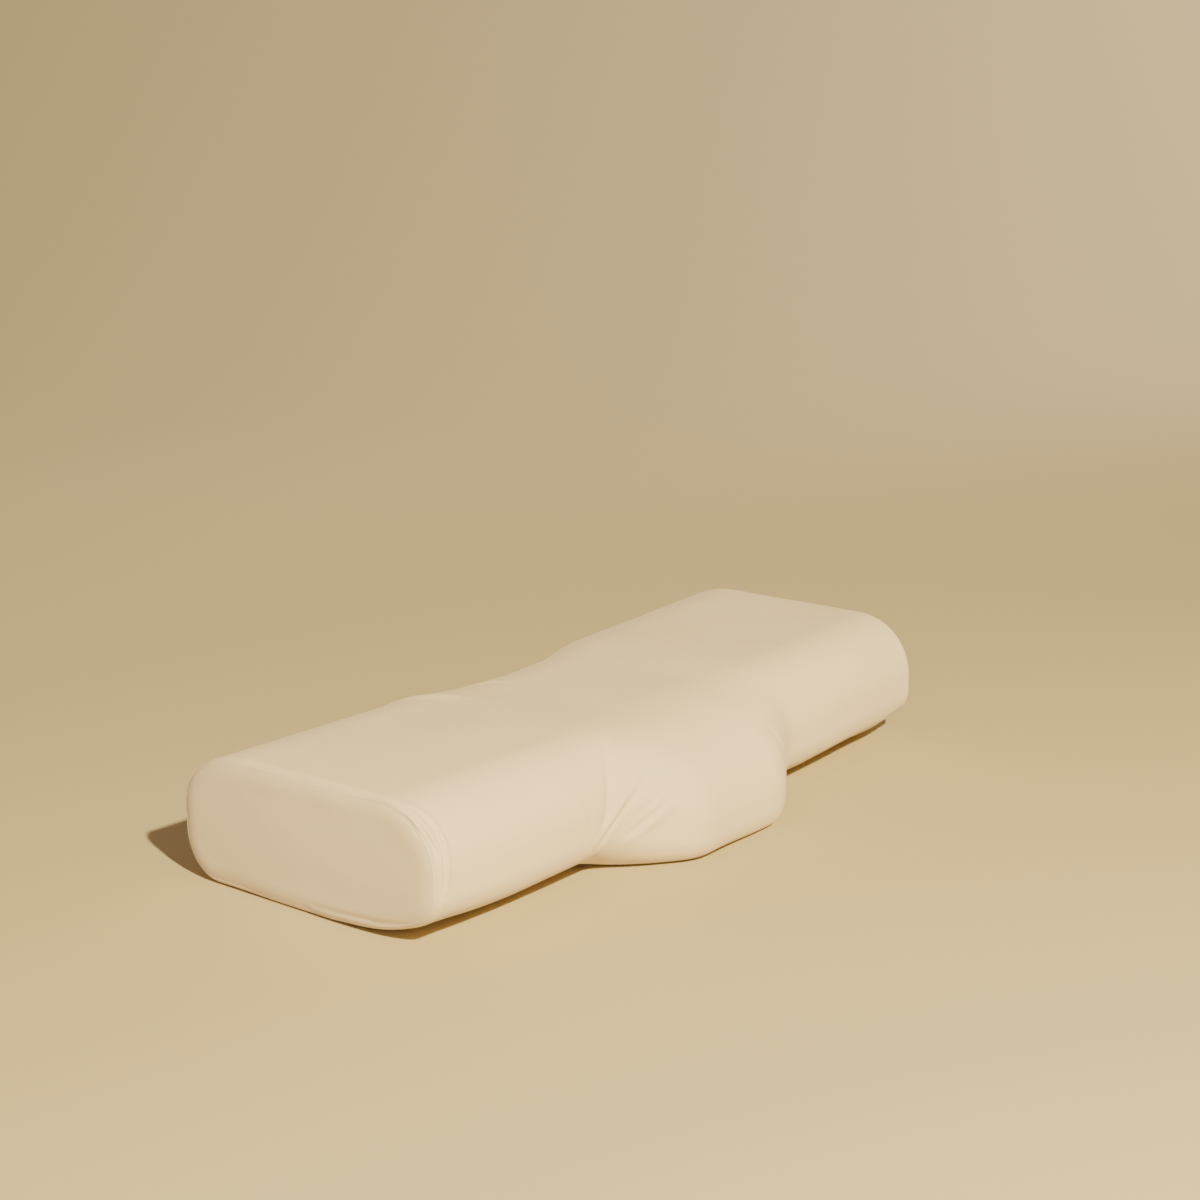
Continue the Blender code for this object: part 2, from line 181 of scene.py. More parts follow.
# 0 below -soft, t above it, and (t + soft)^2 / (4 soft) between
def softBend(t, soft):
    return np.where(t < -soft, 0.0, np.where(t > soft, t, (t + soft) ** 2 / (4 * soft)))


# 1 over the flat, 0 past the foot, and a straight ramp with rounded corners between
def rampShare(x, flat, foot, soft):
    fall = softBend(np.abs(x) - flat, soft) - softBend(np.abs(x) - foot, soft)
    return 1 - fall / (foot - flat)


# 1 over the flat, 0 past the foot, and t^2 (3 - 2t) between
def smoothShare(x, flat, foot):
    t = np.clip((foot - np.abs(x)) / (foot - flat), 0.0, 1.0)
    return t * t * (3 - 2 * t)


# Height of the base at y over the zip: depth (1 + cos(pi reach)) / 2
def grooveRise(y, depth):
    reach = np.minimum(np.abs(y - pillow["zipY"]) / pillow["grooveHalf"], 1.0)
    return depth * 0.5 * (1 + np.cos(np.pi * reach))


# Quarter of a superellipse round (y, z): y + a sign(cos) |cos|^(2/n), z + b sign(sin) |sin|^(2/n)
def cornerRun(y, z, a, b, start, turns):
    angle = np.radians(start + turns)
    power = 2 / pillow["cornerPower"]
    c = np.cos(angle)
    s = np.sin(angle)
    return y + a * np.sign(c) * np.abs(c) ** power, z + b * np.sign(s) * np.abs(s) ** power


# Straight run between two points of the section, without its ends
def straightRun(first, last, count):
    share = np.linspace(0, 1, count + 2)[1:-1]
    return first[0] * (1 - share) + last[0] * share, first[1] * (1 - share) + last[1] * share


# The section at each x, shrunk by side, as three runs of (x, y, z): over the back, top and front from one base
# seam to the other, then the front part of the base as far as the zip, then the back part. The front stands
# higher in proportion to z, and the lower front edge is lifted at the ends and in waves between them.
def sections(x, side, groove, density):
    x = np.asarray(x, float)[:, None]
    side = np.asarray(side, float)[:, None]
    p = pillow
    flat = np.where(x > 0, p["bulgeFlatFar"], p["bulgeFlat"])
    foot = np.where(x > 0, p["bulgeFootFar"], p["bulgeFoot"])
    share = rampShare(x, flat, foot, p["bulgeSoft"])
    hollow = smoothShare(x, p["recessFlat"], p["recessFoot"])
    reach = np.minimum(2 * np.abs(x) / p["length"], 1.0)
    tall = p["height"] - p["middleDip"] * hollow
    front = p["wingFront"] - mix(p["wingSwell"] * (1 - reach * reach), p["bulge"], share) + side
    back = p["wingBack"] - p["backFlare"] * (1 - reach) - p["backRecess"] * hollow - side
    size = {}
    for name, wing, middle in (("bt", "backTop", "backTop"), ("ft", "frontTopWing", "frontTopBulge"),
                               ("fb", "frontBaseWing", "frontBaseBulge"), ("bb", "backBase", "backBase")):
        part = np.clip(share, 0.0, 1.0) ** 0.5 if name == "fb" else share
        wide = mix(p[wing][0], p[middle][0], part) - side
        high = mix(p[wing][1], p[middle][1], part) * tall - side
        size[name] = (wide, high)
    top = tall - side

    def count(number):
        return max(3, int(round(number * density)))

    def seamHalf(name, turn):
        a, b = size[name]
        angle = math.radians(turn)
        speed = np.hypot(a * math.sin(angle), b * math.cos(angle))
        return np.degrees((layers["seamRadius"] + layers["seamRoom"]) / speed)

    def corner(name, start, turns):
        a, b = size[name]
        y = back - a if name in ("bt", "bb") else front + a
        z = top - b if name in ("bt", "ft") else side + b
        return cornerRun(y, z, a, b, start, turns)

    def fan(a, b, number):
        return mix(a, b, np.linspace(0, 1, count(number)))

    def first(run):
        return run[0][:, :1], run[1][:, :1]

    def last(run):
        return run[0][:, -1:], run[1][:, -1:]

    seam = layers["seamTurn"]
    frontHalf = seamHalf("fb", seam)
    backHalf = seamHalf("bb", seam)
    backRise = corner("bb", 270, fan(90 - seam + backHalf, 90 + 0 * backHalf, 16))
    backTop = corner("bt", 0, fan(0 * side, 90 + 0 * side, 26))
    frontTop = corner("ft", 90, fan(0 * side, 90 + 0 * side, 38))
    frontFall = corner("fb", 180, fan(0 * side, seam - frontHalf, 24))
    frontUnder = corner("fb", 180, fan(seam + frontHalf, 90 + 0 * frontHalf, 12))
    backUnder = corner("bb", 270, fan(0 * side, 90 - seam - backHalf, 9))

    depth = groove * smoothShare(x, p["grooveEnd"], p["grooveEnd"] + p["grooveFade"])
    opening = np.clip((p["grooveEnd"] + p["slotFade"] - np.abs(x)) / p["slotFade"], 0.0, 1.0)
    slot = mix(layers["seamRoom"] / 2, p["slotHalf"], opening)
    steps = fan(p["grooveHalf"] + 0 * slot, slot, 12)
    nearY = p["zipY"] - steps
    farY = p["zipY"] + steps[:, ::-1]
    near = (nearY, side + grooveRise(nearY, depth))
    far = (farY, side + grooveRise(farY, depth))

    over = [backRise, straightRun(last(backRise), first(backTop), count(6)), backTop]
    over += [straightRun(last(backTop), first(frontTop), count(34)), frontTop]
    over += [straightRun(last(frontTop), first(frontFall), count(8)), frontFall]
    under = [frontUnder, straightRun(last(frontUnder), first(near), count(12)), near]
    behind = [far, straightRun(last(far), first(backUnder), count(14)), backUnder]
    lift = p["endLift"] * (1 - smoothShare(x, p["length"] / 2 - p["endLiftFrom"], p["length"] / 2))
    lift = lift + p["edgeWave"] * np.sin(np.pi * (x - p["waveFrom"]) / p["waveLength"]) ** 2
    made = []
    for runs in (over, under, behind):
        y = np.concatenate([run[0] for run in runs], axis=1)
        z = np.concatenate([run[1] for run in runs], axis=1)
        lean = (y - back) / (front - back)
        z = z * (1 + p["frontRise"] / tall * lean)
        frontmost = np.clip(y / p["endLiftFront"], 0.0, 1.0)
        z = z + lift * frontmost * (1 - z / p["height"]) ** 2
        made.append(np.stack([x + 0 * y, y, z], axis=2))
    return made


# Unit normals of a grid: the cross product of its two directions. The order of rows and columns of every
# grid here makes them point outwards.
def gridNormals(points):
    along = np.gradient(points, axis=0)
    across = np.gradient(points, axis=1)
    normal = np.cross(across, along)
    return normal / np.maximum(np.linalg.norm(normal, axis=2, keepdims=True), 1e-12)


# The same on a grid whose rows are closed
def ringNormals(rings):
    return gridNormals(np.concatenate([rings[:, -1:], rings, rings[:, :1]], axis=1))[:, 1:-1]


# A smooth line through given points: Catmull-Rom, a few points between each pair
def smoothLine(points, each=5):
    p = np.asarray(points, float)
    p = np.concatenate([[2 * p[0] - p[1]], p, [2 * p[-1] - p[-2]]])
    t = np.linspace(0, 1, each, endpoint=False)[:, None]
    made = []
    for a, b, c, d in zip(p[:-3], p[1:-2], p[2:-1], p[3:]):
        square = 2 * a - 5 * b + 4 * c - d
        cube = 3 * b - a - 3 * c + d
        made.append(0.5 * (2 * b + (c - a) * t + square * t ** 2 + cube * t ** 3))
    made.append(p[-2:-1])
    return np.concatenate(made)


# Height of the cloth over its plain shape at each point: slow waves, and for each crease
# -depth exp(-(d/half)^2) + roll exp(-((d - across half) / (1.6 half))^2), fading towards the line's ends
def relief(points, normals):
    flat = points.reshape(-1, 3)
    normal = normals.reshape(-1, 3)
    around = flat[:, 1] - flat[:, 2] * 1.3
    rise = np.zeros(len(flat))
    for wave in softness:
        a = np.sin(2 * np.pi * flat[:, 0] / wave["alongX"] + wave["turnX"])
        b = np.sin(2 * np.pi * around / wave["alongYZ"] + wave["turnYZ"])
        rise += wave["height"] * a * b
    for crease in creases:
        line = smoothLine(crease["line"])
        low = line.min(0) - 0.03
        high = line.max(0) + 0.03
        pick = np.flatnonzero(((flat > low) & (flat < high)).all(axis=1))
        if len(pick) == 0:
            continue
        p = flat[pick]
        n = normal[pick]
        best = np.full(len(p), 1e9)
        signed = np.zeros(len(p))
        place = np.zeros(len(p))
        count = len(line) - 1
        for k in range(count):
            step = line[k + 1] - line[k]
            share = np.clip(((p - line[k]) @ step) / (step @ step), 0, 1)
            away = p - line[k] - share[:, None] * step
            away = away - (away * n).sum(1)[:, None] * n
            size = np.linalg.norm(away, axis=1)
            side = (away * np.cross(n, step)).sum(1)
            closer = size < best
            best = np.where(closer, size, best)
            signed = np.where(closer, np.copysign(size, side), signed)
            place = np.where(closer, (k + share) / count, place)
        fade = np.sin(np.pi * np.clip(place, 0.02, 0.98)) ** 0.45
        across = signed / crease["half"]
        valley = -crease["depth"] * np.exp(-across ** 2)
        roll = crease["roll"] * np.exp(-((across - crease["across"]) / 1.6) ** 2)
        rise[pick] += fade * (valley + roll)
    return rise.reshape(points.shape[:2])


# Stations along the pillow: fine where the cloth is creased, coarser elsewhere
def stations(rimTurn, step, fine):
    half = pillow["length"] / 2 - step
    turns = np.radians(np.linspace(rimTurn, 90.0, 9 if fine else 4))
    roundX = half - pillow["endRoundX"] * (1 - np.cos(turns))
    side = pillow["endRoundSide"] * (1 - np.sin(turns))
    start = -half + pillow["endRoundX"]
    marks = [(start, 0.0008), (-0.272, 0.0024), (-0.155, 0.0013), (-0.068, 0.0026),
             (0.055, 0.0015), (0.078, 0.0028), (-start, None)]
    if not fine:
        marks = [(start, 0.009), (-start, None)]
    middle = []
    for (a, pitch), (b, _) in zip(marks[:-1], marks[1:]):
        middle.append(np.linspace(a, b, max(2, int(round((b - a) / pitch))), endpoint=False))
    middle = np.concatenate(middle)[1:]
    x = np.concatenate([-roundX, middle, roundX[::-1]])
    return x, np.concatenate([side, np.zeros(len(middle)), side[::-1]])


# Quads of a grid of rows x columns, closed in either direction if asked
def gridFaces(rows, columns, closeRows=False, closeColumns=False):
    r = np.arange(rows if closeRows else rows - 1)
    c = np.arange(columns if closeColumns else columns - 1)
    r, c = np.meshgrid(r, c, indexing="ij")
    row = r * columns
    nextRow = (r + 1) % rows * columns
    nextColumn = (c + 1) % columns
    quads = np.stack([row + c, row + nextColumn, nextRow + nextColumn, nextRow + c], axis=-1)
    return quads.reshape(-1, 4)


# Quads between the closed rows of points that start at a and at b
def band(a, b, columns):
    k = np.arange(columns)
    after = (k + 1) % columns
    return np.stack([a + k, a + after, b + after, b + k], axis=1)


# Triangles from the closed row that starts at a to one tip
def tipFaces(a, columns, tip):
    k = np.arange(columns)
    return np.stack([a + k, a + (k + 1) % columns, np.full(columns, tip)], axis=1)


# Puts points and faces (quads, then triangles) into a new object, with a smooth finish
def pieceFrom(name, points, quads, triangles, finish, sharp=None, uv=None):
    mesh = bpy.data.meshes.new(name)
    points = np.asarray(points, float).reshape(-1, 3)
    triangles = np.asarray(triangles, int).reshape(-1, 3)
    quads = np.asarray(quads, int).reshape(-1, 4)
    loops = np.concatenate([quads.ravel(), triangles.ravel()])
    starts = np.concatenate([np.arange(len(quads)) * 4, len(quads) * 4 + np.arange(len(triangles)) * 3])
    mesh.vertices.add(len(points))
    mesh.vertices.foreach_set("co", points.astype(np.float32).ravel())
    mesh.loops.add(len(loops))
    mesh.loops.foreach_set("vertex_index", loops.astype(np.int32))
    mesh.polygons.add(len(starts))
    mesh.polygons.foreach_set("loop_start", starts.astype(np.int32))
    mesh.update(calc_edges=True)
    facing = bmesh.new()
    facing.from_mesh(mesh)
    bmesh.ops.recalc_face_normals(facing, faces=facing.faces)
    facing.to_mesh(mesh)
    facing.free()
    if uv is not None:
        layer = mesh.uv_layers.new(name="cloth")
        corners = np.zeros(len(mesh.loops), np.int32)
        mesh.loops.foreach_get("vertex_index", corners)
        layer.data.foreach_set("uv", uv.reshape(-1, 2)[corners].astype(np.float32).ravel())
    mesh.shade_smooth()
    if sharp is not None:
        mesh.set_sharp_from_angle(angle=math.radians(sharp))
    mesh.materials.append(finish)
    made = bpy.data.objects.new(name, mesh)
    scene.collection.objects.link(made)
    return made


# Distance along a line to each of its points
def lengthAlong(line):
    return np.concatenate([[0], np.cumsum(np.linalg.norm(np.diff(line, axis=0), axis=1))])


# A grid's UV in metres: distance along its middle column and its middle row
def clothUv(points):
    along = lengthAlong(points[:, points.shape[1] // 2])
    across = lengthAlong(points[points.shape[0] // 2])
    u, v = np.meshgrid(along, across, indexing="ij")
    return np.stack([u, v], axis=-1)


# A wall from a grid: its outer face, the same grid moved in by thick, and the rim between them
def shell(name, outer, inner, finish, uv):
    rows, columns = outer.shape[:2]
    shift = rows * columns
    faces = gridFaces(rows, columns)
    back = faces[:, ::-1] + shift
    edge = np.concatenate([
        np.arange(columns), np.arange(1, rows) * columns + columns - 1,
        (rows - 1) * columns + np.arange(columns - 2, -1, -1), np.arange(rows - 2, 0, -1) * columns,
    ])
    after = np.roll(edge, -1)
    rim = np.stack([edge, after, after + shift, edge + shift], axis=1)
    points = np.concatenate([outer.reshape(-1, 3), inner.reshape(-1, 3)])
    both = np.concatenate([uv.reshape(-1, 2), uv.reshape(-1, 2)])
    return pieceFrom(name, points, np.concatenate([faces, back, rim]), [], finish, 60, both)


# An end panel: rings that follow the end rounding inwards, then shrink to a pole with a low crown
# crown (1 - s^2)^2, where s is the ring's share of the flat face
def endPanel(name, hand, step, inset, thick, groove, crown, follow, density, finish):
    half = pillow["length"] / 2 - step
    turns = np.radians(np.linspace(layers["capRim"], 0.0, 8))
    x = half - pillow["endRoundX"] * (1 - np.cos(turns))
    side = pillow["endRoundSide"] * (1 - np.sin(turns))
    rings = np.concatenate(sections(hand * x, side, groove, density), axis=1)
    centre = rings[-1].mean(axis=0)
    share = np.linspace(1, 0, 22)[1:-1, None, None]
    flat = centre + (rings[-1][None] - centre) * share
    flat[:, :, 0:1] += hand * crown * (1 - share ** 2) ** 2
    points = np.concatenate([rings, flat])
    normal = ringNormals(points) * hand
    points = points + normal * (relief(points, normal) * follow - inset)[:, :, None]
    points[:, :, 2] = np.maximum(points[:, :, 2], layers["floorRoom"])
    inner = points - normal * thick
    rows, columns = points.shape[:2]
    poles = np.stack([points[-1].mean(axis=0), inner[-1].mean(axis=0)])
    shift = rows * columns
    faces = gridFaces(rows, columns, closeColumns=True)
    quads = np.concatenate([faces, faces + shift, band(0, shift, columns)])
    tips = [tipFaces(shift - columns, columns, 2 * shift), tipFaces(2 * shift - columns, columns, 2 * shift + 1)]
    every = np.concatenate([points.reshape(-1, 3), inner.reshape(-1, 3), poles])
    return pieceFrom(name, every, quads, np.concatenate(tips), finish, 60, every[:, 1:])


# A round cord along closed or open centre lines: centre + r (u cos a + v sin a), where r swells once a stitch
def cordPiece(name, centres, normals, radius, closed, stitch, finish, sides=8):
    if closed:
        ahead = np.roll(centres, -1, 0) - np.roll(centres, 1, 0)
    else:
        ahead = np.gradient(centres, axis=0)
    ahead = ahead / np.linalg.norm(ahead, axis=1)[:, None]
    v = np.cross(ahead, normals)
    v = v / np.linalg.norm(v, axis=1)[:, None]
    u = np.cross(v, ahead)
    gone = lengthAlong(centres)
    bead = radius * (0.90 + 0.16 * np.abs(np.sin(np.pi * gone / stitch)))
    angle = np.linspace(0, 2 * np.pi, sides, endpoint=False)
    ring = np.cos(angle)[None, :, None] * u[:, None] + np.sin(angle)[None, :, None] * v[:, None]
    points = centres[:, None] + ring * bead[:, None, None]
    faces = gridFaces(len(centres), sides, closeRows=closed, closeColumns=True)
    triangles = []
    every = points.reshape(-1, 3)
    if not closed:
        count = len(every)
        every = np.concatenate([every, centres[:1], centres[-1:]])
        triangles = np.concatenate([tipFaces(0, sides, count), tipFaces(count - sides, sides, count + 1)])
    uv = np.zeros((len(every), 2))
    uv[:len(gone) * sides, 0] = np.repeat(gone, sides)
    uv[:len(gone) * sides, 1] = np.tile(angle * radius, len(gone))
    return pieceFrom(name, every, faces, triangles, finish, None, uv)


# Points at even steps along a line
def evenly(line, step, closed=False):
    if closed:
        line = np.concatenate([line, line[:1]])
    gone = lengthAlong(line)
    at = np.linspace(0, gone[-1], max(3, int(gone[-1] / step)), endpoint=not closed)
    return np.stack([np.interp(at, gone, line[:, k]) for k in range(3)], axis=1)


# Rounded slab: the plan outline shrunk over a half-round edge, from a pole under it to a pole above it
def slabPoints(planX, planY, centre, thick, edge):
    angle = np.linspace(-np.pi / 2, np.pi / 2, 9)
    shrink = edge * (1 - np.cos(angle))
    z = (thick / 2 - edge) * np.sign(angle) + edge * np.sin(angle)
    z[4] = 0
    reach = np.hypot(planX, planY)
    shrink = np.concatenate([[0.55 * reach.min()], shrink, [0.55 * reach.min()]])
    z = np.concatenate([[z[0]], z, [z[-1]]])
    share = 1 - shrink[:, None] / reach[None]
    x = centre[0] + planX[None] * share
    y = centre[1] + planY[None] * share
    return np.stack([x, y, centre[2] + z[:, None] + 0 * x], axis=2)


# Faces of several slabs joined in one object
def slabPiece(name, slabs, finish):
    points = []
    quads = []
    tips = []
    count = 0
    for grid in slabs:
        rows, columns = grid.shape[:2]
        points += [grid.reshape(-1, 3), grid[0].mean(0)[None], grid[-1].mean(0)[None]]
        quads.append(gridFaces(rows, columns, closeColumns=True) + count)
        size = rows * columns
        tips.append(tipFaces(0, columns, size) + count)
        tips.append(tipFaces(size - columns, columns, size + 1) + count)
        count += size + 2
    return pieceFrom(name, np.concatenate(points), np.concatenate(quads), np.concatenate(tips), finish, 40)



# A node with its settings and inputs; an input that is a socket is linked
def node(tree, kind, inputs=(), **settings):
    made = tree.nodes.new(kind)
    for key, value in settings.items():
        setattr(made, key, value)
    for key, value in dict(inputs).items():
        if isinstance(value, bpy.types.NodeSocket):
            tree.links.new(value, made.inputs[key])
        else:
            made.inputs[key].default_value = value
    return made


def maths(tree, operation, a, b=0.0, c=0.0):
    return node(tree, "ShaderNodeMath", {0: a, 1: b, 2: c}, operation=operation).outputs[0]


# A material, its node tree and its shader, with the constant values set on the shader's own inputs
def startFinish(name, roughness, metallic=0.0, sheen=0.0, sheenTint=(1, 1, 1), specular=0.5):
    made = bpy.data.materials.new(name)
    made.use_nodes = True
    tree = made.node_tree
    shader = tree.nodes["Principled BSDF"]
    shader.inputs["Roughness"].default_value = roughness
    shader.inputs["Metallic"].default_value = metallic
    shader.inputs["Specular IOR Level"].default_value = specular
    shader.inputs["Sheen Weight"].default_value = sheen
    shader.inputs["Sheen Roughness"].default_value = 0.45
    shader.inputs["Sheen Tint"].default_value = (*sheenTint, 1)
    return made, tree, shader


# Raises a material's surface by a height
def addBump(tree, shader, height, strength, distance):
    bump = node(tree, "ShaderNodeBump", {"Height": height, "Strength": strength, "Distance": distance})
    tree.links.new(bump.outputs["Normal"], shader.inputs["Normal"])


# The cloth's own UV in metres
def clothPlace(tree):
    uv = node(tree, "ShaderNodeUVMap", uv_map="cloth").outputs["UV"]
    return node(tree, "ShaderNodeSeparateXYZ", {"Vector": uv}).outputs


def noise(tree, place, scale, detail):
    return node(tree, "ShaderNodeTexNoise", {"Vector": place, "Scale": scale, "Detail": detail}).outputs["Fac"]


# Base colour: two near colours mixed by a slow noise and a fine one, both in Object coordinates
def speckledColour(tree, shader, dark, light, slow, fine, fineShare=0.35):
    place = node(tree, "ShaderNodeTexCoord").outputs["Object"]
    broad = noise(tree, place, slow, 3.0)
    small = noise(tree, place, fine, 2.0)
    most = maths(tree, "MULTIPLY", broad, 1 - fineShare)
    both = maths(tree, "ADD", most, maths(tree, "MULTIPLY", small, fineShare))
    ramp = node(tree, "ShaderNodeValToRGB", {"Fac": both})
    ramp.color_ramp.elements[0].position = 0.36
    ramp.color_ramp.elements[0].color = (*dark, 1)
    ramp.color_ramp.elements[1].position = 0.64
    ramp.color_ramp.elements[1].color = (*light, 1)
    tree.links.new(ramp.outputs["Color"], shader.inputs["Base Color"])
    return place, small


# Jersey knit on the cloth's own UV in metres: columns |sin(pi u / wale)| crossed by V-shaped courses
# sin(2 pi (v / course + lean column))
def knitHeight(tree, wale, course, lean):
    place = clothPlace(tree)
    turn = maths(tree, "MULTIPLY", place["X"], math.pi / wale)
    column = maths(tree, "ABSOLUTE", maths(tree, "SINE", turn))
    phase = maths(tree, "MULTIPLY_ADD", column, lean, maths(tree, "MULTIPLY", place["Y"], 1 / course))
    loop = maths(tree, "SINE", maths(tree, "MULTIPLY", phase, 2 * math.pi))
    return maths(tree, "MULTIPLY", column, maths(tree, "MULTIPLY_ADD", loop, 0.3, 0.7))


knit = {
    "dark": (0.765, 0.628, 0.452),
    "light": (0.81, 0.67, 0.49),
    "roughness": 0.90,
    "wale": 0.0010,
    "course": 0.0008,
    "lean": 0.35,
    "bump": 0.30,
    "height": 0.00018,
}
fluffTint = (1.0, 0.93, 0.82)


# Cover: the knit with a fine fuzz over it
def coverFabric():
    made, tree, shader = startFinish("coverKnit", knit["roughness"], sheen=0.18, sheenTint=fluffTint, specular=0.25)
    place, small = speckledColour(tree, shader, knit["dark"], knit["light"], 9.0, 900.0, 0.25)
    height = knitHeight(tree, knit["wale"], knit["course"], knit["lean"])
    fuzz = noise(tree, place, 1800.0, 2.0)
    whole = maths(tree, "MULTIPLY_ADD", fuzz, 0.5, height)
    addBump(tree, shader, whole, knit["bump"], knit["height"])
    rough = maths(tree, "MULTIPLY_ADD", small, 0.10, knit["roughness"] - 0.05)
    tree.links.new(rough, shader.inputs["Roughness"])
    return made


# Liner: a finer, whiter knit
def linerJersey():
    made, tree, shader = startFinish("linerJersey", 0.95, sheen=0.1, specular=0.2)
    speckledColour(tree, shader, (0.80, 0.80, 0.77), (0.88, 0.88, 0.86), 12.0, 700.0)
    height = knitHeight(tree, 0.0007, 0.0006, 0.3)
    addBump(tree, shader, height, 0.3, 0.00015)
    return made


# Foam: small cells
def memoryFoam():
    made, tree, shader = startFinish("memoryFoam", 0.97, specular=0.2)
    place = speckledColour(tree, shader, (0.86, 0.79, 0.60), (0.93, 0.88, 0.72), 6.0, 350.0)[0]
    cells = node(tree, "ShaderNodeTexVoronoi", {"Vector": place, "Scale": 900.0}).outputs["Distance"]
    addBump(tree, shader, cells, 0.5, 0.0004)
    return made


# Thread: plies twisted round it, sin(2 pi (1100 u + 420 v))
def seamThread():
    made, tree, shader = startFinish("seamThread", 0.85, sheen=0.15, sheenTint=fluffTint, specular=0.3)
    speckledColour(tree, shader, (0.74, 0.655, 0.54), (0.84, 0.76, 0.65), 20.0, 1200.0)
    place = clothPlace(tree)
    turn = maths(tree, "MULTIPLY_ADD", place["Y"], 420.0, maths(tree, "MULTIPLY", place["X"], 1100.0))
    plies = maths(tree, "SINE", maths(tree, "MULTIPLY", turn, 2 * math.pi))
    addBump(tree, shader, plies, 0.4, 0.00012)
    return made


# Twill tape: a diagonal rib sin(2 pi (u + v) / 0.9 mm)
def zipTapeWeave():
    made, tree, shader = startFinish("zipTapeWeave", 0.9, sheen=0.1, specular=0.25)
    speckledColour(tree, shader, (0.66, 0.585, 0.48), (0.74, 0.665, 0.555), 30.0, 1100.0)
    place = clothPlace(tree)
    slant = maths(tree, "ADD", place["X"], place["Y"])
    ribs = maths(tree, "SINE", maths(tree, "MULTIPLY", slant, 2 * math.pi / 0.0009))
    addBump(tree, shader, ribs, 0.5, 0.00012)
    return made


# Nylon: smooth, with a slightly uneven shine
def nylonCoil():
    made, tree, shader = startFinish("nylonCoil", 0.42, specular=0.5)
    small = speckledColour(tree, shader, (0.77, 0.71, 0.61), (0.84, 0.79, 0.70), 40.0, 900.0)[1]
    rough = maths(tree, "MULTIPLY_ADD", small, 0.2, 0.32)
    tree.links.new(rough, shader.inputs["Roughness"])
    return made


# Satin plate: fine scratches along X, and rubbed patches of lighter and darker colour
def satinNickel():
    made, tree, shader = startFinish("satinNickel", 0.3, metallic=1.0)
    place = node(tree, "ShaderNodeTexCoord").outputs["Object"]
    stretch = node(tree, "ShaderNodeMapping", {"Vector": place, "Scale": (300.0, 4000.0, 4000.0)}).outputs[0]
    scratch = noise(tree, stretch, 1.0, 3.0)
    worn = noise(tree, place, 260.0, 2.0)
    ramp = node(tree, "ShaderNodeValToRGB", {"Fac": worn})
    ramp.color_ramp.elements[0].color = (0.52, 0.51, 0.48, 1)
    ramp.color_ramp.elements[1].color = (0.70, 0.69, 0.66, 1)
    tree.links.new(ramp.outputs["Color"], shader.inputs["Base Color"])
    rough = maths(tree, "MULTIPLY_ADD", scratch, 0.22, 0.20)
    tree.links.new(rough, shader.inputs["Roughness"])
    addBump(tree, shader, scratch, 0.15, 0.00005)
    return made



# The cover: three long panels, then an end panel at each end. The cloth has its relief and never passes the floor.
def makeCover(fabric):
    x, side = stations(layers["panelRim"], 0.0, True)
    runs = sections(x, side, pillow["grooveDepth"], 1.0)
    for name, points in zip(("cover_top", "cover_base_zip_front", "cover_base_zip_back"), runs):
        normal = gridNormals(points)
        outer = points + normal * relief(points, normal)[:, :, None]
        outer[:, :, 2] = np.maximum(outer[:, :, 2], layers["floorRoom"])
        inner = outer - normal * layers["cover"]
        yield shell(name, outer, inner, fabric, clothUv(points))
    for name, hand in (("left", -1), ("right", 1)):
        yield endPanel("cover_end_panel_" + name, hand, 0.0, 0.0, layers["cover"], pillow["grooveDepth"],
                       layers["coverCrown"], 1.0, 1.0, fabric)


# The liner: a sleeve in one closed ring, then an end panel at each end
def makeLiner(jersey):
    x, side = stations(layers["panelRim"], layers["linerStep"], False)
    ring = np.concatenate(sections(x, side, layers["innerGroove"], 0.5), axis=1)
    normal = ringNormals(ring)
    outer = ring + normal * (layers["innerRelief"] * relief(ring, normal) - layers["liner"])[:, :, None]
    inner = outer - normal * layers["linerThick"]
    rows, columns = outer.shape[:2]
    shift = rows * columns
    faces = gridFaces(rows, columns, closeColumns=True)
    last = shift - columns
    rims = [band(0, shift, columns), band(last, last + shift, columns)]
    faces = np.concatenate([faces, faces + shift, *rims])
    uv = clothUv(ring).reshape(-1, 2)
    every = np.concatenate([outer.reshape(-1, 3), inner.reshape(-1, 3)])
    yield pieceFrom("liner_tube", every, faces, [], jersey, 60, np.concatenate([uv, uv]))
    for name, hand in (("left", -1), ("right", 1)):
        yield endPanel("liner_end_panel_" + name, hand, layers["linerStep"], layers["liner"], layers["linerThick"],
                       layers["innerGroove"], layers["linerCrown"], layers["innerRelief"], 0.5, jersey)


# The foam: the same section drawn in, closed over both ends to a pole
def makeFoam(foam):
    x, side = stations(0.0, layers["foamStep"], False)
    ring = np.concatenate(sections(x, side, layers["innerGroove"], 0.5), axis=1)
    centre = ring[[0, -1]].mean(axis=1)[:, None]
    share = np.linspace(0, 1, 10)[1:-1, None, None]
    first = centre[0] + (ring[0] - centre[0]) * share
    last = centre[1] + (ring[-1] - centre[1]) * share[::-1]
    normal = ringNormals(ring)
    inset = ring + normal * (layers["innerRelief"] * relief(ring, normal) - layers["foam"])[:, :, None]
    size = (ring[0].max(0) - ring[0].min(0))[1:]
    squeeze = (size - 2 * layers["foam"]) / size
    for block, middle in ((first, centre[0]), (last, centre[1])):
        block[:, :, 1:] = middle[:, 1:] + (block[:, :, 1:] - middle[:, 1:]) * squeeze
        block[:, :, 0] -= math.copysign(layers["foam"], middle[0, 0])
    inset[0, :, 0] = first[0, 0, 0]
    inset[-1, :, 0] = last[0, 0, 0]
    grid = np.concatenate([first, inset, last])
    return slabPiece("foam_block", [grid], foam)


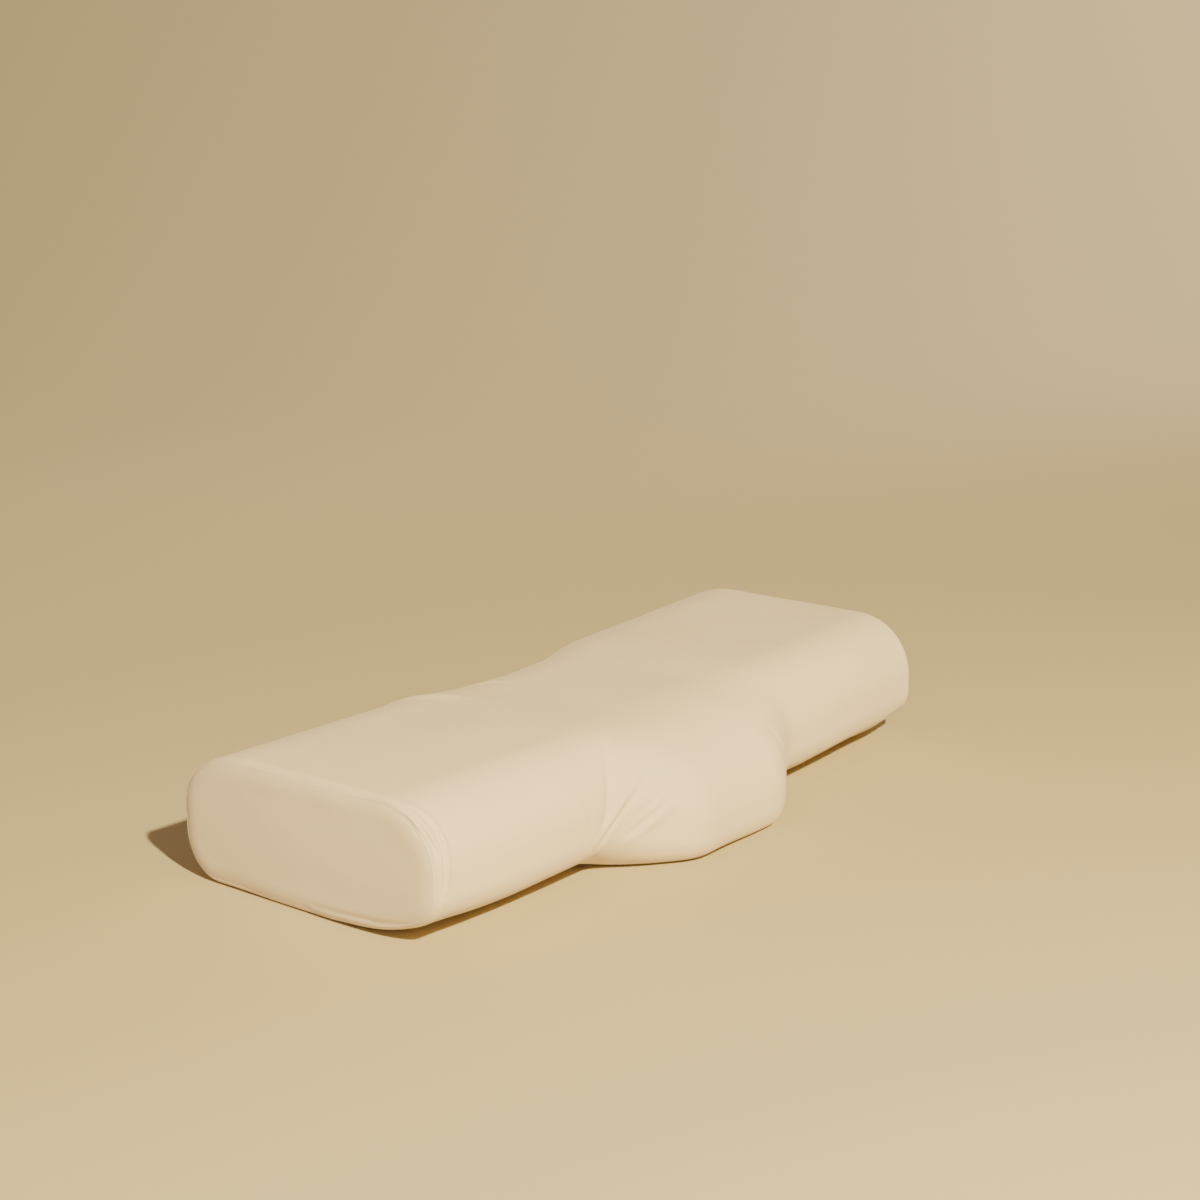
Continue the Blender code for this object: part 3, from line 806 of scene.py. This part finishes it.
# The seam round each end face, in the gap between the end panel and the long panels
def makeEndSeams(thread):
    turn = math.radians(layers["endSeamTurn"])
    side = pillow["endRoundSide"] * (1 - math.sin(turn)) + layers["endSeamSunk"]
    for name, hand in (("left", -1), ("right", 1)):
        x = pillow["length"] / 2 - pillow["endRoundX"] * (1 - math.cos(turn)) - layers["endSeamSunk"]
        ring = np.concatenate(sections([hand * x], [side], pillow["grooveDepth"], 1.0), axis=1)[0]
        line = evenly(ring, 0.0005, True)
        ahead = np.roll(line, -1, 0) - np.roll(line, 1, 0)
        outward = np.cross(ahead, np.array([1.0, 0, 0]))
        outward = outward / np.linalg.norm(outward, axis=1)[:, None]
        line = line + outward * relief(line[None], outward[None])[0][:, None]
        yield cordPiece("end_seam_" + name, line, outward, layers["endSeamRadius"], True, layers["stitch"], thread)


# The seams along the base, in the gaps between the panels
def makeBaseSeams(thread):
    x, side = stations(layers["panelRim"], 0.0, True)
    over, under, behind = sections(x, side, pillow["grooveDepth"], 1.0)
    for name, a, b in (("front", over[:, -1], under[:, 0]), ("back", behind[:, -1], over[:, 0])):
        middle = (a + b) / 2
        outward = np.cross(b - a, np.array([1.0, 0, 0]))
        outward = outward / np.linalg.norm(outward, axis=1)[:, None]
        sunk = relief(middle[None], outward[None])[0] - layers["baseSeamSunk"]
        middle = middle + outward * sunk[:, None]
        line = evenly(middle, 0.0006)
        up = np.stack([np.interp(line[:, 0], middle[:, 0], outward[:, k]) for k in range(3)], axis=1)
        yield cordPiece("base_seam_" + name, line, up, layers["seamRadius"], False, layers["stitch"], thread)


zipper = {
    "half": 0.209,              # half the length of the toothed stretch
    "tapeEnd": 0.0235,
    "tapeInner": 0.0028,        # the tapes' inner edges stand this far from the middle beside the coils,
    "tapeButt": 0.0003,         # and this far past the stops, where they come together
    "buttFrom": 0.0034,
    "buttRun": 0.0020,
    "tapeOuter": 0.0145,
    "tapeThick": 0.0005,
    "tapeGap": 0.0003,          # the tape lies this far over the base cloth
    "tapeRib": 0.00006,
    "ribPitch": 0.0013,
    "tapeBase": 0.0065,
    "pitch": 0.00125,
    "wire": 0.00032,
    "stitchEnd": 0.0070,
    "stitchPitch": 0.0030,
    "stitchLength": 0.0024,
    "stitchRadius": 0.00028,
    "plate": 0.0009,            # thickness of the slider's two plates
    "bridgeWire": 0.00050,
}


# Zip tape: follows the groove on the inner face of the base cloth, with low ribs along it. Past the stops the two
# tapes come together.
def makeTapes(weave):
    z = zipper
    reach = z["half"] + z["tapeEnd"]
    x = np.linspace(-reach, reach, 370)[:, None]
    closing = np.clip((np.abs(x) - z["half"] - z["buttFrom"]) / z["buttRun"], 0.0, 1.0)
    away = mix(mix(z["tapeInner"], z["tapeButt"], closing), z["tapeOuter"], np.linspace(0, 1, 22)[None])
    for name, hand in (("front", -1), ("back", 1)):
        y = pillow["zipY"] + hand * away[:, ::hand]
        rib = z["tapeRib"] * np.cos(2 * np.pi * away[:, ::hand] / z["ribPitch"])
        low = grooveRise(y, pillow["grooveDepth"]) + layers["cover"] + z["tapeGap"] + rib
        lower = np.stack([x + 0 * y, y + 0 * x, low + 0 * x], axis=2)
        upper = lower + np.array([0, 0, z["tapeThick"]])
        yield shell("zip_tape_cloth_" + name, upper[:, ::-1], lower[:, ::-1], weave, clothUv(lower))


# Zip coil: a flattened helix, y = a sin(turn), z = b cos(turn), one turn a pitch
def makeCoils(nylon):
    z = zipper
    turns = int(2 * z["half"] / z["pitch"]) - 2
    turn = np.linspace(0, 2 * np.pi * turns, 12 * turns + 1)
    low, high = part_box("zip_teeth_front")
    middle = (low.z + high.z) / 2
    tall = (high.z - low.z) / 2 - z["wire"]
    for name, hand in (("front", -1), ("back", 1)):
        low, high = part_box("zip_teeth_" + name)
        wide = (high.y - low.y) / 2 - z["wire"]
        x = -z["half"] + z["pitch"] * (1.25 + hand * 0.25) + turn / (2 * np.pi) * z["pitch"]
        y = (low.y + high.y) / 2 + wide * np.sin(turn)
        line = np.stack([x, y, middle + tall * np.cos(turn)], axis=1)
        outward = np.stack([0 * x, np.sin(turn), np.cos(turn)], axis=1)
        yield cordPiece("zip_coil_" + name, line, outward, z["wire"], False, 10.0, nylon, 5)


# Lockstitch beside the zip: short capsules in a row, r(t) = r sqrt(1 - (2t - 1)^4)
def makeStitches(thread):
    z = zipper
    reach = z["half"] + z["stitchEnd"]
    at = np.arange(-reach, reach - z["stitchPitch"], z["stitchPitch"])
    t = np.linspace(0.02, 0.98, 6)
    radius = z["stitchRadius"] * np.sqrt(1 - (2 * t - 1) ** 4)
    angle = np.linspace(0, 2 * np.pi, 6, endpoint=False)
    rows, columns = len(t), len(angle)
    one = gridFaces(rows, columns, closeColumns=True)
    caps = np.array([[0, 1, 2, 3], [3, 4, 5, 0]])
    one = np.concatenate([one, caps, (rows - 1) * columns + caps])
    starts = (np.arange(len(at)) * rows * columns)[:, None, None]
    for name in ("front", "back"):
        low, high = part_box("zip_stitching_" + name)
        y = (low.y + high.y) / 2 + radius[:, None] * np.cos(angle)
        up = (low.z + high.z) / 2 + 0.00005 + radius[:, None] * np.sin(angle)
        x = at[:, None, None] + (t * z["stitchLength"])[None, :, None] + 0 * y[None]
        points = np.stack([x, np.broadcast_to(y, x.shape), np.broadcast_to(up, x.shape)], axis=3)
        quads = (one[None] + starts).reshape(-1, 4)
        uv = np.stack([x.ravel(), np.broadcast_to(angle * z["stitchRadius"], x.shape).ravel()], axis=1)
        yield pieceFrom("zip_stitches_" + name, points, quads, [], thread, None, uv)


# Superellipse plan: (a sign(cos) |cos|^(2/n), b sign(sin) |sin|^(2/n))
def plan(a, b, power, count=48):
    angle = np.linspace(0, 2 * np.pi, count, endpoint=False)
    c = np.cos(angle)
    s = np.sin(angle)
    return a * np.sign(c) * np.abs(c) ** (2 / power), b * np.sign(s) * np.abs(s) ** (2 / power)


# Slider body: two plates that narrow towards the tail, turned-in lips and a neck, all with rounded edges
def makeSlider(metal):
    low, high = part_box("zip_slider")
    middle = (low + high) / 2
    long = (high.x - low.x) / 2
    wide = (high.y - low.y) / 2
    x, y = plan(long, wide, 4.5, 64)
    taper = 1 - 0.12 * (x / long * 0.5 + 0.5) ** 2
    plate = zipper["plate"]
    slabs = []
    for height in (low.z + plate / 2, high.z - plate / 2):
        slabs.append(slabPoints(x, y * taper, (middle.x, middle.y, height), plate, plate / 3))
    lipX, lipY = plan(long * 0.88, 0.00028, 6, 40)
    lowLip = (low.z + zipper["tapeBase"]) / 2 + 0.0002
    for hand in (-1, 1):
        lipAt = middle.y + hand * wide * 0.93
        slabs.append(slabPoints(lipX, lipY, (middle.x, lipAt, lowLip), 0.0014, 0.0001))
        slabs.append(slabPoints(lipX, lipY, (middle.x, lipAt, high.z - 0.0010), 0.0007, 0.0001))
    neckX, neckY = plan(0.0022, 0.00024, 3, 32)
    neckAt = (middle.x - long * 0.45, middle.y, middle.z)
    slabs.append(slabPoints(neckX, neckY, neckAt, high.z - low.z - 0.0016, 0.00008))
    return slabPiece("zip_slider_body", slabs, metal)


# Bridge: a round wire carried along an arch under the slider
def makeBridge(metal):
    low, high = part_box("zip_slider_bridge")
    middle = (low + high) / 2
    wire = zipper["bridgeWire"]
    t = np.linspace(0, np.pi, 33)
    half = (high.x - low.x) / 2 - wire
    tall = high.z - low.z - wire
    c = np.cos(t)
    s = np.sin(t)
    x = middle.x - half * np.sign(c) * np.abs(c) ** 0.5
    z = high.z - tall * np.abs(s) ** 0.5
    line = evenly(np.stack([x, middle.y + 0 * x, z], axis=1), 0.0003)
    outward = np.tile(np.array([0.0, 1.0, 0.0]), (len(line), 1))
    return cordPiece("zip_bridge", line, outward, wire, False, 10.0, metal, 10)


# Pull tab: a ring-shaped grid round its eye. Rows go round the plate and columns go round its edge: out along
# the face, round the outer edge, back under it and round the eye, with a raised border.
def makeTab(metal):
    low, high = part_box("zip_pull_tab")
    middle = (low + high) / 2
    half = (high.z - low.z) / 2
    count = 96
    outerX, outerY = plan((high.x - low.x) / 2, (high.y - low.y) / 2, 4, count)
    outerX = outerX + middle.x
    start = low.x + 0.0010
    eyeX, eyeY = plan(0.0026, 0.0018, 3.2, count)
    eyeX = eyeX + start + 0.0026
    # (share of the way from eye to rim, distance moved outwards from there, height as a share of the half)
    profile = [(0, 0, 0.6), (0, 0.0001, 0.95), (0, 0.0003, 1), (0.30, 0, 0.82), (0.60, 0, 0.80),
               (0.82, 0, 0.82), (0.90, 0, 1), (1, -0.0003, 1), (1, -0.0001, 0.9), (1, 0, 0.5)]
    profile = profile + [(a, b, -c) for a, b, c in profile[::-1]]
    share = np.array([p[0] for p in profile])
    shift = np.array([p[1] for p in profile])
    rise = np.array([p[2] for p in profile]) * half
    wayX = outerX - eyeX
    wayY = outerY - eyeY
    size = np.hypot(wayX, wayY)
    x = eyeX[:, None] + wayX[:, None] * share + wayX[:, None] / size[:, None] * shift
    y = eyeY[:, None] + wayY[:, None] * share + wayY[:, None] / size[:, None] * shift
    points = np.stack([x, y + middle.y, middle.z + rise[None] + 0 * x], axis=2)
    faces = gridFaces(count, len(profile), closeRows=True, closeColumns=True)
    return pieceFrom("zip_tab", points, faces, [], metal, 40)


# Says which body carries a piece and which CAD nodes it replaces. The slot is not used.
def dress(piece, body, slot, *nodes):
    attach(piece, body)
    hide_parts(*nodes)
    return piece


fabric = coverFabric()
jersey = linerJersey()
foam = memoryFoam()
thread = seamThread()
weave = zipTapeWeave()
nylon = nylonCoil()
metal = satinNickel()

coverNodes = ["cover_top_panel", "cover_base_front", "cover_base_back", "cover_end_left", "cover_end_right"]
for piece, nodeName in zip(makeCover(fabric), coverNodes):
    dress(piece, "pillow", "cover_fabric", nodeName)
print("cover panels made")

for piece, nodeName in zip(makeLiner(jersey), ["liner_sleeve", "liner_end_left", "liner_end_right"]):
    dress(piece, "pillow", "liner_knit", nodeName)
core = dress(makeFoam(foam), "pillow", "core_foam", "foam_core")
print("liner and foam made")

for piece, nodeName in zip(makeEndSeams(thread), ["seam_end_left", "seam_end_right"]):
    dress(piece, "pillow", "seam_thread", nodeName)
for piece, nodeName in zip(makeBaseSeams(thread), ["seam_base_front", "seam_base_back"]):
    dress(piece, "pillow", "seam_thread", nodeName)
for piece, nodeName in zip(makeTapes(weave), ["zip_tape_front", "zip_tape_back"]):
    dress(piece, "pillow", "zip_tape", nodeName)
for piece, nodeName in zip(makeCoils(nylon), ["zip_teeth_front", "zip_teeth_back"]):
    dress(piece, "pillow", "zip_nylon", nodeName)
for piece, nodeName in zip(makeStitches(thread), ["zip_stitching_front", "zip_stitching_back"]):
    dress(piece, "pillow", "seam_thread", nodeName)
for nodeName in ("zip_top_stop_front", "zip_top_stop_back", "zip_bottom_stop"):
    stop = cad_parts[nodeName]
    stop.data.materials.clear()
    stop.data.materials.append(metal)
dress(makeSlider(metal), "slider", "zip_metal", "zip_slider")
dress(makeBridge(metal), "slider", "zip_metal", "zip_slider_bridge")
dress(makeTab(metal), "pull_tab", "zip_metal", "zip_pull_tab")
print("seams and zip made")

studio = {
    "cameraAt": (-1.3843, -1.0860, 0.6337),
    "lookAlong": (0.76069, 0.59581, -0.25761),
    "lens": 72.0,
    "lightFrom": (-0.380, -0.688, 0.618),
    "lightAway": 2.85,
    "lightPower": 196.0,
    "lightSize": 0.10,
    "lightColour": (1.0, 0.85, 0.44),
    "spotAt": (5.54, -1.43, 3.0),  # it lights the backdrop only
    "spotTo": (2.79, 1.77, 0.4),
    "spotPower": 1400.0,
    "spotTurn": 58.0,
    "spotColour": (1.0, 0.90, 0.70),
    "skyOver": (0.33, 0.242, 0.178),
    "skyLeft": (0.92, 1.0, 1.10),
    "leftSide": (-0.98, -0.20, 0.0),
    "leftTurn": (0.35, 0.90),   # how squarely the sky faces the left before it is bright
    "leftHeight": (0.12, 0.42),  # the sines of the heights between which the left side fades
    "floorColour": (0.56, 0.47, 0.30),
}


# Puts a camera or light at a place, looking along a direction
def aimed(name, data, at, along):
    made = bpy.data.objects.new(name, data)
    made.location = at
    made.rotation_mode = "QUATERNION"
    made.rotation_quaternion = along.to_track_quat("-Z", "Y")
    scene.collection.objects.link(made)
    return made


def makeCamera():
    data = bpy.data.cameras.new("camera")
    data.lens = studio["lens"]
    data.sensor_width = 36.0
    data.clip_end = 60.0
    scene.camera = aimed("camera", data, Vector(studio["cameraAt"]), Vector(studio["lookAlong"]))


# A small key light, so that the shadow's edge is fairly crisp, a spot for the backdrop, and a sky that is brighter
# low on the left
def makeLights():
    data = bpy.data.lights.new("key", "AREA")
    data.shape = "DISK"
    data.size = studio["lightSize"]
    data.energy = studio["lightPower"]
    data.color = studio["lightColour"]
    way = Vector(studio["lightFrom"]).normalized()
    aimed("key", data, way * studio["lightAway"], -way)
    data = bpy.data.lights.new("backdrop", "SPOT")
    data.energy = studio["spotPower"]
    data.color = studio["spotColour"]
    data.spot_size = math.radians(studio["spotTurn"])
    data.spot_blend = 0.6
    data.shadow_soft_size = 0.5
    at = Vector(studio["spotAt"])
    aimed("backdrop", data, at, Vector(studio["spotTo"]) - at)
    world = bpy.data.worlds.new("room")
    world.use_nodes = True
    tree = world.node_tree
    sky = tree.nodes["Background"]
    way = node(tree, "ShaderNodeTexCoord").outputs["Generated"]
    across = node(tree, "ShaderNodeVectorMath", {0: way, 1: studio["leftSide"]}, operation="DOT_PRODUCT")
    side = across.outputs["Value"]
    height = node(tree, "ShaderNodeSeparateXYZ", {"Vector": way}).outputs["Z"]
    near, square = studio["leftTurn"]
    low, high = studio["leftHeight"]
    facing = node(tree, "ShaderNodeMapRange", {0: side, 1: near, 2: square}).outputs["Result"]
    falling = {0: height, 1: low, 2: high, 3: 1.0, 4: 0.0}
    under = node(tree, "ShaderNodeMapRange", falling).outputs["Result"]
    colour = node(tree, "ShaderNodeMix", {0: maths(tree, "MULTIPLY", facing, under)}, data_type="RGBA")
    colour.inputs[6].default_value = (*studio["skyOver"], 1)
    colour.inputs[7].default_value = (*studio["skyLeft"], 1)
    tree.links.new(colour.outputs[2], sky.inputs["Color"])
    sky.inputs["Strength"].default_value = 1.0
    scene.world = world
    scene.view_settings.view_transform = "AgX"


# Floor that sweeps up into a wall: flat, then a quarter turn, then upright, facing the camera
def makeFloor():
    made, _, shader = startFinish("studioPaper", 0.95, specular=0.1)
    shader.inputs["Base Color"].default_value = (*studio["floorColour"], 1)
    way = Vector(studio["lookAlong"])
    way.z = 0
    way.normalize()
    turn = np.radians(np.linspace(0, 90, 17))
    flat = 1.6
    bend = 3.2
    away = np.concatenate([[-8.0], flat + bend * np.sin(turn), [flat + bend]])
    up = np.concatenate([[0.0], bend * (1 - np.cos(turn)), [bend + 4.0]])
    across = np.array([-12.0, 12.0])
    x = way.x * away[:, None] + way.y * across[None]
    y = way.y * away[:, None] - way.x * across[None]
    z = up[:, None] + 0 * across[None]
    floor = pieceFrom("floor", np.stack([x, y, z], axis=2), gridFaces(len(away), 2), [], made)


makeCamera()
makeLights()
makeFloor()
print("studio made")
